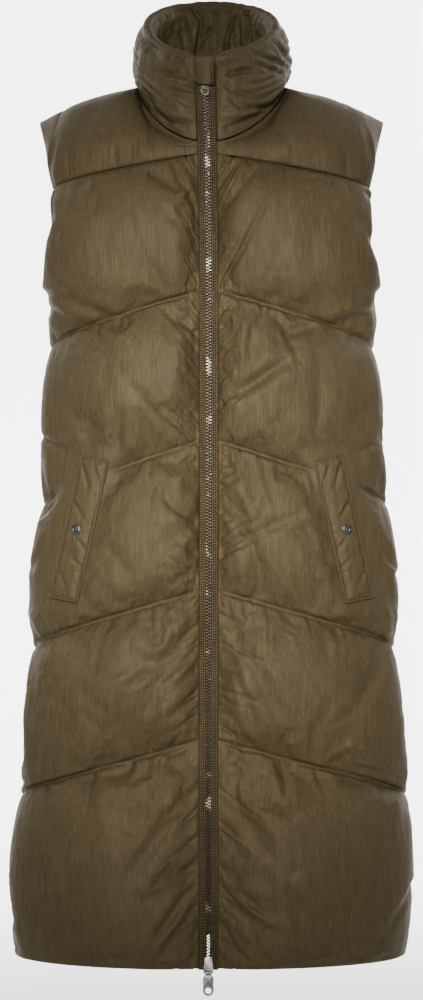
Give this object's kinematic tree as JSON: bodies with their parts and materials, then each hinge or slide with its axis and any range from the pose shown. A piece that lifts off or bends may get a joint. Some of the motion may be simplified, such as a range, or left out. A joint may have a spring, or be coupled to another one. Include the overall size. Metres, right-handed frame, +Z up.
{
  "type": "puffer vest",
  "caption": "Long sleeveless quilted vest with a stand collar, full-length two-way zip, chevron quilting, slanted snap welt pockets and snapped side vents.",
  "frame": {"origin": "midway between the shoulders, level with the high points beside the neck, where a wearer carries it", "axes": "+X to the viewer's right, the front faces -Y, +Z up"},
  "size_m": [0.466, 0.286, 1.1411],
  "materials": {
    "shell_nylon": "satin, finely woven olive brown nylon",
    "zip_tape": "matt woven tape",
    "zip_metal": "bright, slightly worn metal",
    "gunmetal": "dark satin gunmetal"
  },
  "bodies": {
    "vest": {"front_left": "shell_nylon", "front_right": "shell_nylon", "back": "shell_nylon", "front_yoke_left": "shell_nylon", "front_yoke_right": "shell_nylon", "back_yoke": "shell_nylon", "collar": "shell_nylon", "chin_guard": "shell_nylon", "pocket_welt_left": "shell_nylon", "pocket_welt_right": "shell_nylon", "zip_tape_left": "zip_tape", "zip_tape_right": "zip_tape", "zip_chain": "zip_metal", "bottom_slider": "zip_metal", "top_slider": "gunmetal", "pocket_snap_left": "gunmetal", "pocket_snap_right": "gunmetal", "vent_snap_left_upper": "gunmetal", "vent_snap_left_lower": "gunmetal", "vent_snap_right_upper": "gunmetal", "vent_snap_right_lower": "gunmetal"},
    "bottom_pull": {"bottom_pull_tab": "zip_metal"},
    "top_pull": {"top_pull_tab": "gunmetal"}
  },
  "joints": [
    {"name": "bottom_pull_swing", "type": "hinge", "parent": "vest", "child": "bottom_pull", "pos_m": [-0.0036, -0.1295, -1.0106], "axis": [1, 0, 0], "range_deg": [-120, 25]},
    {"name": "top_pull_swing", "type": "hinge", "parent": "vest", "child": "top_pull", "pos_m": [-0.00718, -0.10465, -0.0046], "axis": [1, 0, 0], "range_deg": [-20, 0]}
  ]
}
